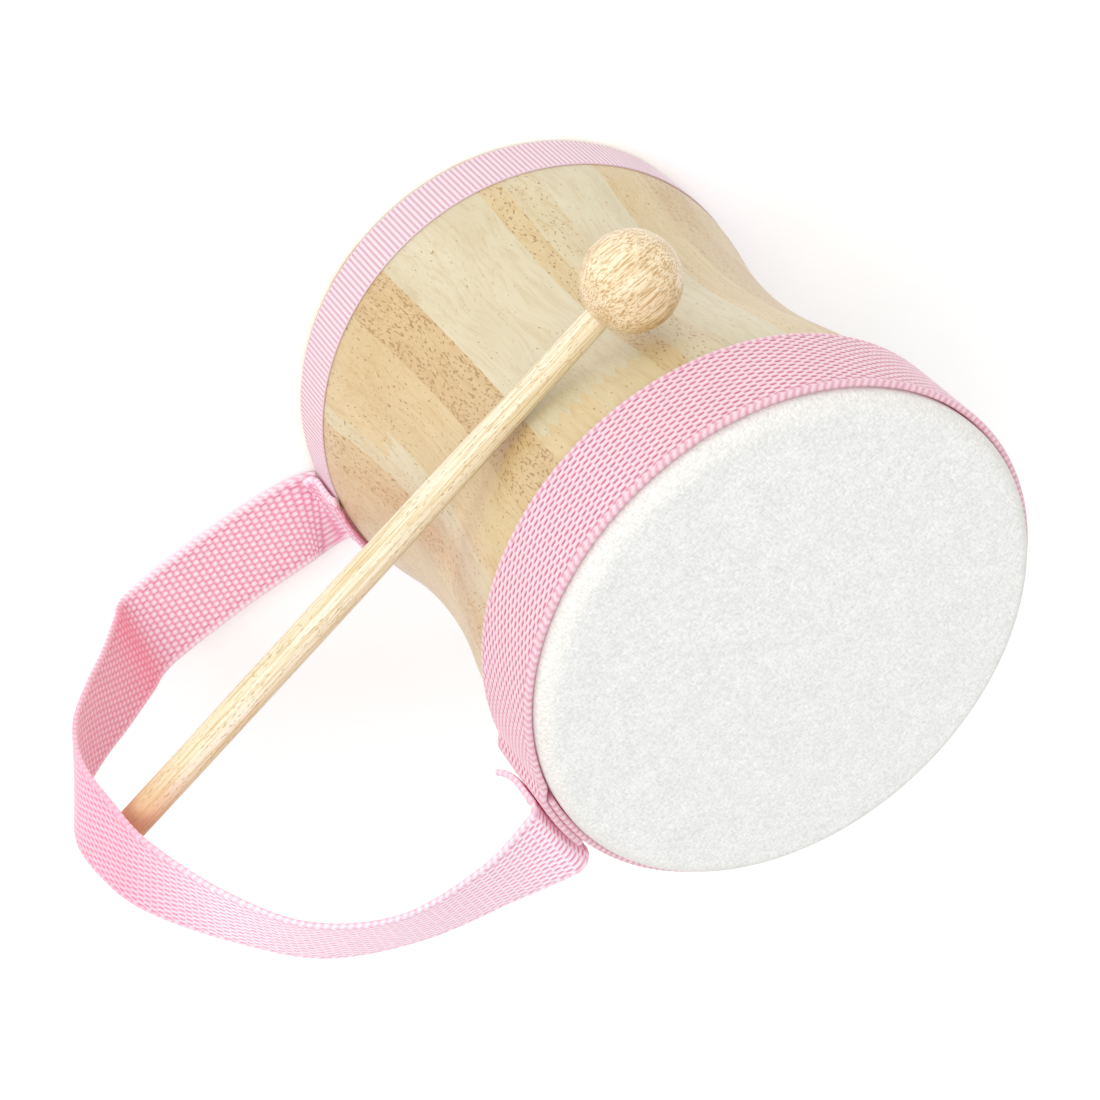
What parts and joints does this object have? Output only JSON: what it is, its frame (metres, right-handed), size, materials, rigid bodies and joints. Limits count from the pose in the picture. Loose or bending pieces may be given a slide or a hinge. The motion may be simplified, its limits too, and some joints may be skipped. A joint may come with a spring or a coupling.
{
  "type": "hand drum",
  "caption": "Waisted wooden hand drum open at the foot, with a skin head under a woven band, a strap handle at the side and a loose ball-ended mallet.",
  "frame": {"origin": "centre of the shell's open foot, on the drum's axis, at floor level", "axes": "+Z along the drum's axis towards the head, +X towards the strap handle, the mallet lies on the -Y side"},
  "size_m": [0.2295, 0.149, 0.1532],
  "materials": {
    "shell_wood": "satin lacquer",
    "drum_skin": "matt",
    "staple_steel": "bright",
    "band_webbing": "chunky plain weave",
    "ribbon_grosgrain": "fine cross ribs",
    "strap_webbing": "chunky plain weave",
    "shaft_wood": "bare, sanded",
    "ball_wood": "satin"
  },
  "bodies": {
    "drum": {"stave_01": "shell_wood", "stave_02": "shell_wood", "stave_03": "shell_wood", "stave_04": "shell_wood", "stave_05": "shell_wood", "stave_06": "shell_wood", "stave_07": "shell_wood", "stave_08": "shell_wood", "stave_09": "shell_wood", "stave_10": "shell_wood", "stave_11": "shell_wood", "stave_12": "shell_wood", "drum_head": "drum_skin", "skin_staples": "staple_steel", "head_band": "band_webbing", "foot_ribbon": "ribbon_grosgrain", "handle_strap": "strap_webbing", "strap_staples_head": "staple_steel", "strap_staples_foot": "staple_steel"},
    "mallet": {"mallet_shaft": "shaft_wood", "mallet_ball": "ball_wood"}
  },
  "joints": [
    {"name": "mallet_lift_off", "type": "slide", "parent": "drum", "child": "mallet", "axis": [-0.987, -0.1405, 0.0785], "range_m": [0, 0.2]}
  ]
}
